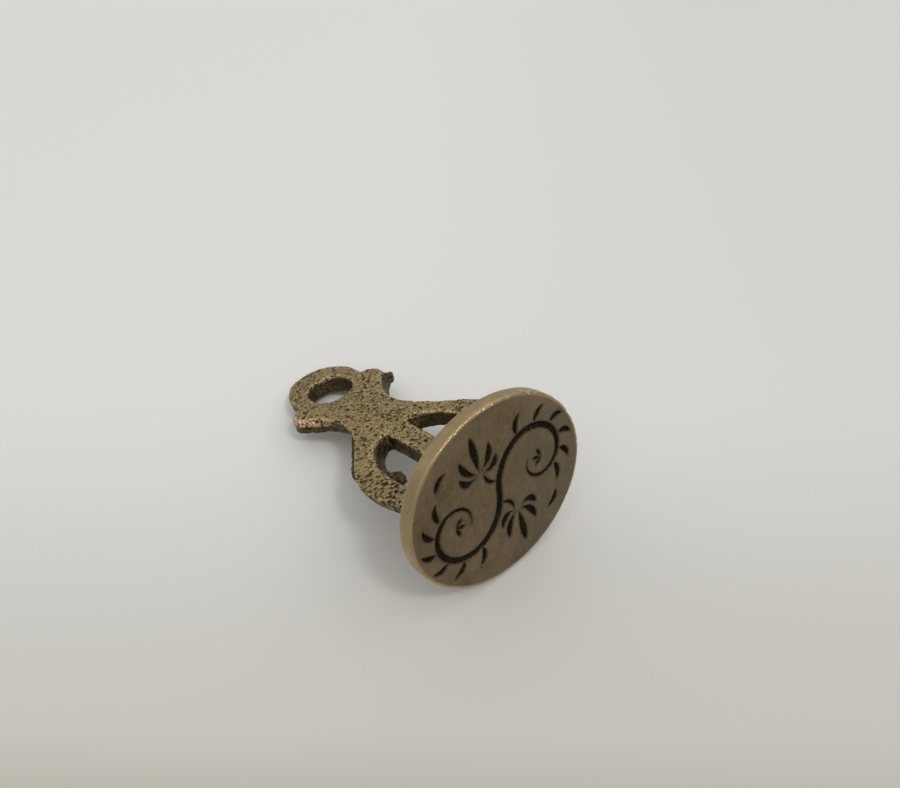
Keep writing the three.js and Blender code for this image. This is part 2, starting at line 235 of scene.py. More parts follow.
def fan(ring, middle):
    """Triangles from a ring of vertex numbers to a vertex in its middle."""
    return np.stack([ring, np.roll(ring, -1), np.full(len(ring), middle)], axis=1)


def without_checkers(field):
    """The field with no grid square left whose corners are in and out like a checkerboard, where the
    surface would touch itself: the outer corner nearest to the surface is drawn in."""
    for _ in range(12):
        found = 0
        for axis in range(3):
            planes = np.moveaxis(field, axis, 0)
            a, b, c, d = planes[:, :-1, :-1], planes[:, 1:, :-1], planes[:, 1:, 1:], planes[:, :-1, 1:]
            for one, two, three, four in ((a, b, c, d), (b, a, d, c)):
                checker = (one < 0) & (three < 0) & (two >= 0) & (four >= 0)
                nearer = two < four
                two[checker & nearer] = -1e-4
                four[checker & ~nearer] = -1e-4
                found += checker.sum()
        if not found:
            return field
    raise ValueError("the casting's field keeps squares where its surface touches itself")


def surface_net(field, corner, step):
    """The zero surface of a field on a grid, negative inside. Each cell that it crosses gets a vertex
    at the mean of the crossings on its edges, and each crossed edge a quad of the cells round it."""
    inside = field < 0
    size = np.array(field.shape) - 1
    corners = [
        inside[tuple(slice(o, o + n) for o, n in zip(offset, size))] for offset in np.ndindex(2, 2, 2)
    ]
    crossed = np.logical_or.reduce(corners) & ~np.logical_and.reduce(corners)
    cells = np.argwhere(crossed)
    number = np.full(tuple(size), -1)
    number[crossed] = np.arange(len(cells))
    total = np.zeros((len(cells), 3))
    hits = np.zeros(len(cells))
    quads = []
    for axis in range(3):
        forward, first, second = np.roll(np.eye(3, dtype=int), -axis, axis=0)
        for start in np.ndindex(2, 2, 2):
            if start[axis]:
                continue
            here = field[tuple((cells + start).T)]
            there = field[tuple((cells + start + forward).T)]
            cut = (here < 0) != (there < 0)
            share = here / np.where(cut, here - there, 1)
            total += cut[:, None] * (np.array(start) + share[:, None] * forward)
            hits += cut
        edges = np.argwhere(np.diff(inside, axis=axis))
        around = (edges - first - second, edges - second, edges, edges - first)
        quad = np.stack([number[tuple(cell.T)] for cell in around], axis=1)
        leaving = inside[tuple(edges.T)]
        quads.append(np.where(leaving[:, None], quad, quad[:, ::-1]))
    return corner + step * (cells + total / hits[:, None]), np.concatenate(quads)


def largest_shell(points, faces):
    """The points and faces of the largest connected shell: each point takes the lowest number that
    reaches it along the faces, and the points that end with the commonest number stay."""
    label = np.arange(len(points))
    while True:
        lowest = label.copy()
        np.minimum.at(lowest, faces, label[faces].min(axis=1, keepdims=True))
        lowest = lowest[lowest]
        if np.array_equal(lowest, label):
            break
        label = lowest
    kept = label == np.bincount(label).argmax()
    number = np.cumsum(kept) - 1
    return points[kept], number[faces[kept[faces[:, 0]]]]


# Outlines of the handle


def bezier_path(start, curves, steps):
    """Points along a chain of cubic Bezier curves, each given by its two handles and its end."""
    t = np.linspace(0, 1, steps + 1)[1:, None]
    points = [np.array([start], float)]
    for curve in curves:
        a, b, c = np.reshape(curve, (3, 2))
        first = (1 - t) ** 3 * points[-1][-1] + 3 * (1 - t) ** 2 * t * a
        points.append(first + 3 * (1 - t) * t**2 * b + t**3 * c)
    return np.concatenate(points)


def leg_wall(foot, reach):
    """The start of a leg's wall below the seat, and its curve up to the leg's bulge."""
    rise = LEG_BULGE_HEIGHT - SEAT_HEIGHT
    start = (foot - FOOT_SPLAY * FOOT_OVERRUN, SEAT_HEIGHT - FOOT_OVERRUN)
    above = (foot + 0.3 * FOOT_SPLAY * rise, SEAT_HEIGHT + 0.3 * rise)
    return start, (*above, reach, LEG_BULGE_HEIGHT - 0.36 * rise, reach, LEG_BULGE_HEIGHT)


def outside(depth):
    """The handle's outside as a closed loop of points, at a depth from 0 at the front to 1 at the back.
    The numbers say how far the curves' handles reach, alone or as a share of the stretch's rise."""
    reach = LEG_REACH - LEG_TAPER * depth
    neck = NECK_HALF_WIDTH
    horn = HORN_REACH + HORN_FLARE * depth
    ring = RING_RADIUS + RING_FLARE * depth
    neck_height = RING_CENTRE - NECK_DROP
    leg_rise = neck_height - LEG_BULGE_HEIGHT
    horn_height = RING_CENTRE - HORN_DROP
    under = (horn - 0.45, horn_height - 0.45 * HORN_HEIGHT)
    over = (horn - 0.7, horn_height + 0.5 * HORN_HEIGHT)
    horn_rise = under[1] - neck_height
    ring_end = (ring * math.cos(NOTCH_ANGLE), RING_CENTRE - ring * math.sin(NOTCH_ANGLE))
    leg_height = LEG_BULGE_HEIGHT + 0.36 * leg_rise
    start, leg = leg_wall(FOOT_OUTER - LEG_TAPER * depth, reach)
    curves = [
        leg,
        (reach, leg_height, neck, neck_height - 0.36 * leg_rise, neck, neck_height),
        (neck, neck_height + 0.42 * horn_rise, under[0] - 0.8, under[1] - 1.0, *under),
        (under[0] + 0.22, under[1] + 0.26, horn, horn_height - 0.35, horn, horn_height),
        (horn, horn_height + 0.45, over[0] + 0.3, over[1] - 0.2, *over),
        (over[0] - 0.35, over[1] + 0.18, ring_end[0] + 0.12, ring_end[1] - 0.4, *ring_end),
    ]
    half = bezier_path(start, curves, 16)
    angles = np.linspace(-NOTCH_ANGLE, math.pi + NOTCH_ANGLE, 60)[1:-1]
    arc = np.stack([ring * np.cos(angles), RING_CENTRE + ring * np.sin(angles)], axis=1)
    return np.concatenate([half, arc, half[::-1] * [-1, 1]])


def opening(depth):
    """The right opening between the legs as a closed loop of points, which runs out below the feet."""
    taper = OPENING_TAPER * depth
    inner = LEG_REACH - LEG_WIDTH - taper
    middle = MIDDLE_LEG_WIDTH / 2 + taper
    arch = ARCH_HEIGHT - 1.4 * taper
    width = inner - middle
    start, leg = leg_wall(FOOT_OUTER - FOOT_WIDTH - taper, inner)
    leg_high = (inner, LEG_BULGE_HEIGHT + 0.5 * (arch - LEG_BULGE_HEIGHT))
    curves = [
        leg,
        (*leg_high, middle + 0.6 * width, arch - 0.4, middle + 0.16 * width, arch),
        (middle + 0.06 * width, arch + 0.1, middle, arch, middle, arch - 0.45),
        (middle, arch - 3, middle, SEAT_HEIGHT, middle, SEAT_HEIGHT - FOOT_OVERRUN),
    ]
    return bezier_path(start, curves, 16)


def loop_distance(loop, x, z):
    """Signed distance of plane points to a closed loop, negative inside: its nearest segment gives the
    distance, and the parity of the segments that a ray to the right crosses gives the sign."""
    best = np.full(x.shape, np.inf)
    crossings = np.zeros(x.shape, int)
    for a, b in zip(loop, np.roll(loop, -1, axis=0)):
        along = b - a
        length = along @ along
        if length < 1e-12:
            continue
        right, up = x - a[0], z - a[1]
        share = np.clip((right * along[0] + up * along[1]) / length, 0, 1)
        gap = (right - share * along[0]) ** 2 + (up - share * along[1]) ** 2
        best = np.minimum(best, gap)
        if a[1] != b[1]:
            straddles = (a[1] > z) != (b[1] > z)
            meets = a[0] + up / (b[1] - a[1]) * (b[0] - a[0])
            crossings += straddles & (x < meets)
    return np.sqrt(best) * np.where(crossings % 2, -1, 1)


def smooth_step(value, low, high):
    """From 0 at the low end to 1 at the high one, by 3t^2 - 2t^3."""
    t = np.clip((value - low) / (high - low), 0, 1)
    return t * t * (3 - 2 * t)


def band(value, start, full, falling, gone):
    """From 0 up to 1 and down to 0 again, in smooth steps."""
    return smooth_step(value, start, full) * smooth_step(-value, -gone, -falling)


def axes_of(points):
    """The X, Y and Z of an array of points."""
    return points[..., 0], points[..., 1], points[..., 2]


def read_map(values, corner, step, x, z):
    """A map's values at plane points, blended from the four nearest points of its grid."""
    across = np.clip((x - corner[0]) / step, 0, values.shape[0] - 1.001)
    along = np.clip((z - corner[2]) / step, 0, values.shape[1] - 1.001)
    i, j = across.astype(int), along.astype(int)
    a, b = across - i, along - j
    low = values[i, j] * (1 - b) + values[i, j + 1] * b
    high = values[i + 1, j] * (1 - b) + values[i + 1, j + 1] * b
    return low * (1 - a) + high * a


def outline_maps(corner, step, counts):
    """Distance maps of the handle's outside and its two openings, each at the front and at the back."""
    x, z = np.meshgrid(*(corner[k] + step * np.arange(counts[k]) for k in (0, 2)), indexing="ij")
    walls = [(outside, 1, 1), (opening, 1, -1), (opening, -1, -1)]
    return [
        [sign * loop_distance(loop(depth), side * x, z) for depth in (0, 1)]
        for loop, side, sign in walls
    ]


def side_distances(points, maps, corner, step, thickness, eye_radius):
    """Distances to the outside wall and to the walls of the openings and the eye, negative in the
    metal: the front's and the back's maps blended by depth, with the back a little to the left."""
    x, y, z = axes_of(points)
    depth = np.clip(0.5 - y / thickness, 0, 1)
    shifted = x + MOULD_SHIFT * depth
    place = (corner, step, shifted, z)
    wall, right, left = (
        read_map(front, *place) * (1 - depth) + read_map(back, *place) * depth for front, back in maps
    )
    eye = eye_radius - EYE_TAPER * depth - np.hypot(x, z - RING_CENTRE + EYE_DROP)
    return wall, np.maximum(np.maximum(right, left), eye)


def ball(points, centre, radii):
    """Rough signed distance to an ellipsoid: (|p / r| - 1) times its smallest radius."""
    return (np.linalg.norm((points - centre) / radii, axis=-1) - 1) * min(radii)


def melted(first, second, blend):
    """The nearer of two distances, with the corner between them filled in."""
    share = np.clip(0.5 + 0.5 * (second - first) / blend, 0, 1)
    return second * (1 - share) + first * share - blend * share * (1 - share)


def horn_rub(points):
    """From 0 to 1 over the right horn's front, which is rubbed away."""
    x, y, z = axes_of(points)
    return smooth_step(x, 2.8, 4.2) * band(z, 20.8, 22.4, 25.4, 26.4) * (y > 0)


def fin_zone(points):
    """From 0 to 1 along the right leg's outer side, where the mould's halves left a fin."""
    x, _, z = axes_of(points)
    return band(z, 10.8, 13.2, 16.8, 19.0) * (x > 1)


def foot_rub(points):
    """From 0 to 1 on the outer corner of the right leg, above its foot."""
    x, _, z = axes_of(points)
    return smooth_step(x, 4.8, 6.4) * smooth_step(-z, -9.0, -6.2)


def cast_field(points, thickness, edge, wall, hole):
    """Signed distance to the casting before its pits. Its edges are rounder on the rubbed horn and
    above the right foot, and the left leg bellies out a little. The right leg has a fin of flash and two
    chips, the right opening a jagged lump and the left horn a knob."""
    x, y, z = axes_of(points)
    radius = edge + 0.4 * horn_rub(points) + 0.35 * foot_rub(points) * (y > 0)
    belly = LEG_BELLY * smooth_step(-x, 5.0, 7.0) * band(z, 3.5, 8.0, 10.5, 14.5)
    side = np.maximum(wall - belly, hole) + radius
    face = np.abs(y) - thickness / 2 + radius
    outer = np.hypot(np.maximum(side, 0), np.maximum(face, 0))
    body = np.minimum(np.maximum(side, face), 0) + outer - radius
    fin = np.maximum(np.abs(y - 0.1) - FIN_HALF_THICKNESS, wall - FIN_WIDTH * fin_zone(points))
    fin = np.maximum(fin, np.maximum(hole, 1 - x))
    body = melted(body, fin, 0.12)
    jagged = 0.16 * soft_noise(points, 0.45, 7)
    body = melted(body, ball(points, *OPENING_FLASH) + 1.3 * jagged, 0.12)
    body = melted(body, ball(points, *HORN_KNOB) + jagged / 4, 0.25)
    body = melted(body, ball(points, *KNOB_ROOT) + jagged / 4, 0.15)
    for chip in LEG_CHIPS:
        body = -melted(-body, ball(points, *chip), 0.05)
    return np.maximum(body, SEAT_HEIGHT - z)


def pitting(points):
    """Depth of pitting from 0 to 1, crowded on the right leg and a little sparser on the ring. A
    lattice's cells hold balls of random place and size, bent by soft noise, and the depth at a point is
    the largest 1 - (d / r)^2 of the balls in the 27 nearest cells."""
    x, _, z = axes_of(points)
    leg = smooth_step(x, 2.5, 5.5) * smooth_step(-z, -15, -11)
    crowd = 1 + 0.2 * leg - 0.1 * smooth_step(z, 25, 27.5) + 0.3 * soft_noise(points, 2.6, PIT_SEED + 5)
    bend = np.stack([soft_noise(points, 0.24, PIT_SEED + 11 + axis) for axis in range(3)], axis=-1)
    scaled = (points + PIT_BEND * bend) / PIT_SPACING
    cell = np.floor(scaled)
    depth = np.zeros(len(points))
    for offset in np.ndindex(3, 3, 3):
        near = cell + np.array(offset) - 1
        centre = near + np.stack([cell_hash(near, PIT_SEED + axis) for axis in range(3)], axis=-1)
        radius = (0.1 + 0.36 * cell_hash(near, PIT_SEED + 3)) * crowd
        gap = np.linalg.norm(scaled - centre, axis=-1)
        depth = np.maximum(depth, 1 - (gap / radius) ** 2)
    return depth


def handle_shape(thickness, edge, eye_radius, step):
    """The casting's points, quads and marks. Its distance field is filled on a grid, the sand's waves
    and the pits are added close to the surface, and its zero surface's largest shell is kept. The marks
    are the pits' depth, the walls' flanks, which carry dark oxide and painted shade, the front's edges,
    rubbed bright and painted with glints, and the rubbed horn."""
    corner = np.array([FIELD_LEFT, -thickness / 2 - FIELD_MARGIN, SEAT_HEIGHT - 0.4])
    far = np.array([FIELD_RIGHT, thickness / 2 + FIELD_MARGIN, SEAT_HEIGHT + FIELD_HEIGHT])
    counts = np.ceil((far - corner) / step).astype(int)
    maps = outline_maps(corner, step, counts)
    rows = (corner[k] + step * np.arange(counts[k]) for k in range(3))
    grid = np.stack(np.meshgrid(*rows, indexing="ij"), axis=-1)
    given = (maps, corner, step, thickness, eye_radius)
    wall, hole = side_distances(grid, *given)
    field = cast_field(grid, thickness, edge, wall, hole)
    near = np.abs(field) < SKIN_REACH
    points = grid[near]
    on_fin = fin_zone(points) * (wall[near] > -0.15)
    skin = waves(points, SAND_WAVES) + PIT_DEPTH * pitting(points) ** 0.7
    field[near] += (1 - 0.75 * on_fin) * skin
    points, quads = largest_shell(*surface_net(without_checkers(field), corner, step))
    wall, hole = side_distances(points, *given)
    front = smooth_step(points[:, 1], thickness / 2 - 0.5, thickness / 2 - 0.1)
    rim = smooth_step(np.maximum(wall, hole), -0.5, -0.1)
    # The flanks' mark darkens the walls and the back edges: partly dark oxide, partly painted shade
    flank_oxide_and_shade = rim * (1 - front) * (1 - 0.75 * foot_rub(points))
    marks = {"pit": pitting(points), "flank_oxide_and_shade": flank_oxide_and_shade, "edge": rim * front, "rub": horn_rub(points) * rim}
    return points, quads, marks


# Engraving


def heading(degrees):
    """The unit vector in a direction of the die's face."""
    return np.array([math.cos(math.radians(degrees)), math.sin(math.radians(degrees))])


def bent(root, length, degrees, bend):
    """A stroke that leaves a root in one direction and bows sideways by a share of its length."""
    along = length * heading(degrees)
    aside = bend * np.array([-along[1], along[0]])
    return lambda t: root + along * t[:, None] + aside * (4 * t * (1 - t))[:, None]


def scroll_arm(turn):
    """A spiral from the face's middle round the scroll's centre: r = r0 exp(-decay x turn)."""
    x, y = (-SCROLL_CENTRE * np.exp(-SCROLL_DECAY * turn)[:, None]).T
    c, s = np.cos(turn), np.sin(turn)
    return SCROLL_CENTRE + np.stack([c * x - s * y, s * x + c * y], axis=1)


def scroll(t):
    """The S-shaped scroll: an arm from its far end to the middle, and the same arm turned round."""
    share = 2 * t - 1
    return scroll_arm(SCROLL_SWEEP * np.abs(share)) * np.where(share < 0, -1, 1)[:, None]


def ornament_strokes():
    """Curve, half width and swell of each engraved stroke. All but the scroll stand twice, half a turn
    apart."""
    strokes = [(scroll, STEM_HALF_WIDTH, 1)]

    def pair(curve, half_width, swell):
        strokes.append((curve, half_width, swell))
        strokes.append((lambda t: -curve(t), half_width, swell))

    for leaf in range(LEAF_COUNT):
        root = scroll_arm(np.array([1.25 + 0.56 * leaf]))[0]
        spoke = root - SCROLL_CENTRE
        outwards = math.degrees(math.atan2(spoke[1], spoke[0]))
        root = root + spoke / np.linalg.norm(spoke) * (STEM_HALF_WIDTH + 0.02)
        length = LEAF_LENGTH * (1 - 0.22 * math.sin(math.pi * (leaf + 0.5) / LEAF_COUNT))
        pair(bent(root, length, outwards + 48, -0.16), LEAF_HALF_WIDTH, 0.85)
    eye = SCROLL_CENTRE + 0.45 * heading(20)
    for degrees in (150, 205, 260):
        pair(bent(eye, 1.05, degrees, 0), SPRIG_HALF_WIDTH, 1.3)
    pair(bent(np.array([-0.25, 1.25]), 2.0, 60, -0.2), SPRIG_HALF_WIDTH, 1)
    for lean, share in ((0, 1), (32, 0.7), (-32, 0.7), (62, 0.5), (-62, 0.5)):
        root = FLEURON_ROOT + 0.5 * heading(96 + lean)
        half_width = PETAL_HALF_WIDTH * (0.85 if lean else 1)
        pair(bent(root, FLEURON_HEIGHT * share, 96 + lean, 0.0045 * lean), half_width, 1.35)
    pair(bent(np.array([5.6, 5.0]), 1.9, 146, -0.17), LEAF_HALF_WIDTH, 1)
    return strokes


def engraving(points, cut_depth):
    """Depth of the cut at plane points, and how far inside a stroke's edge they lie. A stroke's half
    width is w = W sin(pi t^swell)^0.75, its floor is D sqrt(w / W), and its flanks fall nearly straight
    to it."""
    depth = np.zeros(len(points))
    edge = np.full(len(points), -CUT_MARGIN)
    for curve, half_width, swell in ornament_strokes():
        sections = 14 if curve is scroll else 1
        for section in range(sections):
            t = np.linspace(section, section + 1, 90) / sections
            middle = turned(curve(t), ORNAMENT_TURN)
            fullness = np.sin(np.pi * t**swell).clip(0, 1) ** 0.75
            reach = half_width + CUT_MARGIN
            low, high = middle.min(0) - reach, middle.max(0) + reach
            near = np.flatnonzero(np.all((points > low) & (points < high), axis=1))
            gap = np.linalg.norm(points[near, None] - middle[None], axis=2)
            inside = half_width * fullness - gap
            best = inside.argmax(axis=1)
            inside = inside.max(axis=1)
            floor = cut_depth * min(1, half_width / LEAF_HALF_WIDTH) * np.sqrt(fullness[best])
            width = np.maximum(half_width * fullness[best], 1e-6)
            cut = floor * np.clip(inside / width, 0, 1) ** 0.8
            depth[near] = np.maximum(depth[near], cut)
            edge[near] = np.maximum(edge[near], inside)
    return depth, edge


# Die plate


def oval(angles, halves, inset):
    """Points of the die's oval, moved inwards square to its edge."""
    spoke = np.stack([np.cos(angles), np.sin(angles)], axis=1)
    normal = spoke / halves
    normal /= np.linalg.norm(normal, axis=1)[:, None]
    return halves * spoke - np.asarray(inset)[..., None] * normal


def die_shape(halves, cut_depth, cells):
    """The die's points, faces and marks. The face is a square grid bent to a disc by
    x = u sqrt(1 - v^2 / 2) and y = v sqrt(1 - u^2 / 2), stretched to the oval and cut by the engraving.
    Rings round its rim carry the edge's profile to the back and on to the back's middle. The marks are
    the distance inside a cut, the rim and its polished front edge, where a highlight is also painted."""
    side = np.linspace(-1, 1, cells + 1)
    u, v = np.meshgrid(side, side, indexing="ij")
    disc = np.stack([u * np.sqrt(1 - v**2 / 2), v * np.sqrt(1 - u**2 / 2)], axis=-1).reshape(-1, 2)
    reach = np.linalg.norm(disc, axis=1)
    angles = np.arctan2(disc[:, 1], disc[:, 0])
    face = reach[:, None] * oval(angles, halves, FACE_EDGE)
    depth, edge = engraving(face, cut_depth)
    burr = 0.014 * np.exp(-((edge / 0.1) ** 2)) * (edge < 0.02)
    swell = waves(at_height(face, 0.0), ((0.02, 5.0, 31), (0.008, 1.1, 32)))
    heights = depth - (burr - swell) * smooth_step(reach, 1.0, 0.93)
    number = np.arange(u.size).reshape(u.shape)
    quads = np.stack([number[:-1, :-1], number[:-1, 1:], number[1:, 1:], number[1:, :-1]], axis=-1)
    border = np.concatenate([number[:-1, 0], number[-1, :-1], number[:0:-1, -1], number[0, :0:-1]])
    points = [at_height(face, heights)]
    rim_angles = angles[border]
    quarter = 1.57
    front = [(1 - math.sin(a), 1 - math.cos(a)) for a in np.linspace(0.3, quarter, 5)]
    back = [(1 - math.cos(a), 1 - math.sin(a)) for a in np.linspace(0.35, quarter, 5)]
    profile = [(FACE_EDGE * inset, FACE_EDGE * z) for inset, z in front]
    profile += [(0, z) for z in np.linspace(0.42, DIE_THICKNESS - BACK_EDGE, 6)]
    profile += [(BACK_EDGE * inset, DIE_THICKNESS - BACK_EDGE * z) for inset, z in back]
    nicks = np.random.default_rng(8).uniform(LEAST_NICK, GREATEST_NICK, (NICK_COUNT, 4))
    for inset, z in profile:
        where = at_height(oval(rim_angles, halves, inset), z)
        dent = 0.04 * soft_noise(where * [1, 1, 0.5], 3.2, 41) + 0.01 * soft_noise(where, 0.8, 42)
        for angle, height, width, bite in nicks:
            along = np.abs((rim_angles - angle + np.pi) % (2 * np.pi) - np.pi) * halves[0]
            dent = dent + bite * np.exp(-((along / width) ** 2) - ((z - height * 0.6) / 0.28) ** 2)
        dent = dent * (1 if inset < FACE_EDGE * 0.9 else 0.5)
        points.append(at_height(oval(rim_angles, halves, inset + dent.clip(-0.03)), z))
    for share in (0.97, 0.9, 0.7, 0.4, 0.1):
        where = at_height(share * oval(rim_angles, halves, BACK_EDGE), DIE_THICKNESS)
        points.append(where + np.outer(0.02 * soft_noise(where, 2.4, 43), [0, 0, 1]))
    rings = [np.arange(len(border)) + len(face) + k * len(border) for k in range(len(points) - 1)]
    points = np.concatenate([*points, [[0, 0, DIE_THICKNESS]]])
    faces = [quads.reshape(-1, 4), *ring_quads([border, *rings]), fan(rings[-1], len(points) - 1)]
    beyond = len(points) - len(face)
    cut = np.append(edge, np.full(beyond, -CUT_MARGIN))
    rim = np.append(smooth_step(reach, 0.985, 1.0), np.ones(beyond))
    shine = smooth_step(-points[:, 2], -FACE_EDGE * 1.4, -FACE_EDGE) * rim
    return points, faces, {"cut_edge": cut, "rim": rim, "shine": shine}


# Solder


def foot_section(foot):
    """Corners of a foot's section, anticlockwise from its back left one."""
    inner = FOOT_OUTER - FOOT_WIDTH
    middle = MIDDLE_LEG_WIDTH / 2
    left, right = {-1: (-FOOT_OUTER, -inner), 0: (-middle, middle), 1: (inner, FOOT_OUTER)}[foot]
    left_back = left - (OPENING_TAPER if foot >= 0 else -LEG_TAPER) - MOULD_SHIFT
    right_back = right + (OPENING_TAPER if foot <= 0 else -LEG_TAPER) - MOULD_SHIFT
    return np.array([[left_back, -1.0], [right_back, -1.0], [right, 1.0], [left, 1.0]])


def rounded(loop, passes):
    """A closed row of points, each averaged with its neighbours (1 2 1) in several passes."""
    for _ in range(passes):
        loop = (np.roll(loop, 1, axis=0) + 2 * loop + np.roll(loop, -1, axis=0)) / 4
    return loop


def solder_shape(foot, thickness, reach, height):
    """A fillet round one foot: rings that follow the foot's section at a distance, which falls as
    reach (1 - h)^2 on the way up and bulges with soft noise. Their corners are rounder lower down, and
    the fillet is closed inside the foot above and in the die below."""
    section = foot_section(foot) * [1, thickness / 2]
    edges = np.roll(section, -1, axis=0) - section
    lengths = np.linalg.norm(edges, axis=1)
    around = 160
    places = np.linspace(0, lengths.sum(), around, endpoint=False)
    starts = np.concatenate([[0], np.cumsum(lengths)[:-1]])
    side = np.searchsorted(starts, places, side="right") - 1
    base = section[side] + edges[side] * ((places - starts[side]) / lengths[side])[:, None]
    centre = section.mean(0)
    out = np.stack([edges[side, 1], -edges[side, 0]], axis=1) / lengths[side][:, None]
    out = rounded(out, 30)
    out /= np.linalg.norm(out, axis=1)[:, None]
    rings = []
    for level in np.linspace(0, 1, 15):
        z = DIE_THICKNESS - 0.05 + level * height
        gap = -0.1 + (reach + 0.1) * (1 - level) ** 2
        where = at_height(base, z)
        lumps = waves(where, ((0.15, 1.3, 51 + foot), (0.05, 0.5, 54)))
        gap = gap + lumps * (1 - 0.7 * level)
        at = rounded(base + out * gap[:, None], round(90 * (1 - level)))
        at[:, 0] += foot * FOOT_SPLAY * level * height
        rise = waves(where * [1, 1, 0], ((0.2, 1.2, 57), (0.05, 0.4, 58))) * level
        rings.append(at_height(at, z + rise))
    for share in (0.6, 0.25):
        rings.append(rings[-1] * share + np.append(centre, rings[-1][:, 2].mean()) * (1 - share))
    buried = centre + (rings[0][:, :2] - centre) * 0.5
    rings.insert(0, at_height(buried, DIE_THICKNESS - 0.1))
    ends = [np.append(centre, ring[0, 2]) for ring in (rings[0], rings[-1])]
    numbers = np.arange(len(rings) * around).reshape(-1, around)
    bottom = fan(numbers[0], numbers.size)[:, [1, 0, 2]]
    faces = [*ring_quads(numbers), bottom, fan(numbers[-1], numbers.size + 1)]
    return np.concatenate([*rings, ends]), faces


# Finishes

FILM_SIDE = (-0.8, -0.6, 0.0)  # towards the greyer film, in the seal's axes
CARD_TURN = math.radians(43.8)  # turns the table's X axis towards the camera


class Finish:
    """The node tree of a material or of the room, with short calls for the nodes that they share."""

    def __init__(self, owner, shader="Principled BSDF"):
        owner.use_nodes = True
        self.owner = owner
        self.tree = owner.node_tree
        self.shader = self.tree.nodes[shader]

    def put(self, socket, value):
        if isinstance(value, bpy.types.NodeSocket):
            self.tree.links.new(value, socket)
        else:
            socket.default_value = value

    def add(self, kind, inputs, **settings):
        node = self.tree.nodes.new(kind)
        for name, value in settings.items():
            setattr(node, name, value)
        for socket, value in inputs.items():
            self.put(node.inputs[socket], value)
        return node

    def finished(self, looks):
        """Fill the shader's inputs and return the tree's owner."""
        for name, value in looks.items():
            self.put(self.shader.inputs[name], value)
        return self.owner

    def seal_axes(self):
        """Object coordinates in the seal's axes, in millimetres from the middle of its face."""
        where = self.add("ShaderNodeTexCoord", {}).outputs["Object"]
        turn = Matrix(AXES.T.tolist()).to_euler()
        place = {"Location": FACE_CENTRE * MM, "Rotation": turn, "Scale": (MM, MM, MM), "Vector": where}
        return self.add("ShaderNodeMapping", place, vector_type="TEXTURE").outputs[0]

    def stretched(self, where, scale):
        return self.add("ShaderNodeMapping", {"Vector": where, "Scale": scale}).outputs[0]

    def noise(self, where, scale, detail=3, roughness=0.55, distortion=0):
        values = dict(Vector=where, Scale=scale, Detail=detail, Roughness=roughness, Distortion=distortion)
        return self.add("ShaderNodeTexNoise", values).outputs[0]

    def ramp(self, value, low, high, out_low=0.0, out_high=1.0):
        """A smooth climb between two outputs while the value goes from low to high."""
        values = {"Value": value, "From Min": low, "From Max": high}
        values.update({"To Min": out_low, "To Max": out_high})
        return self.add("ShaderNodeMapRange", values, interpolation_type="SMOOTHSTEP").outputs[0]

    def math(self, operation, a, b):
        return self.add("ShaderNodeMath", {0: a, 1: b}, operation=operation).outputs[0]

    def plus(self, a, b):
        return self.math("ADD", a, b)

    def minus(self, a, b):
        return self.math("SUBTRACT", a, b)

    def times(self, a, b):
        return self.math("MULTIPLY", a, b)

    def mix(self, share, *pair):
        """A mix of two colours, each an output or three numbers."""
        a, b = (c if isinstance(c, bpy.types.NodeSocket) else (*c, 1) for c in pair)
        return self.add("ShaderNodeMix", {0: share, 6: a, 7: b}, data_type="RGBA").outputs[2]

    def attribute(self, name):
        return self.add("ShaderNodeAttribute", {}, attribute_name=name).outputs["Fac"]

    def bump(self, height, distance, strength=1.0, normal=None):
        values = {"Height": height, "Distance": distance * MM, "Strength": strength}
        if normal:
            values["Normal"] = normal
        return self.add("ShaderNodeBump", values).outputs[0]


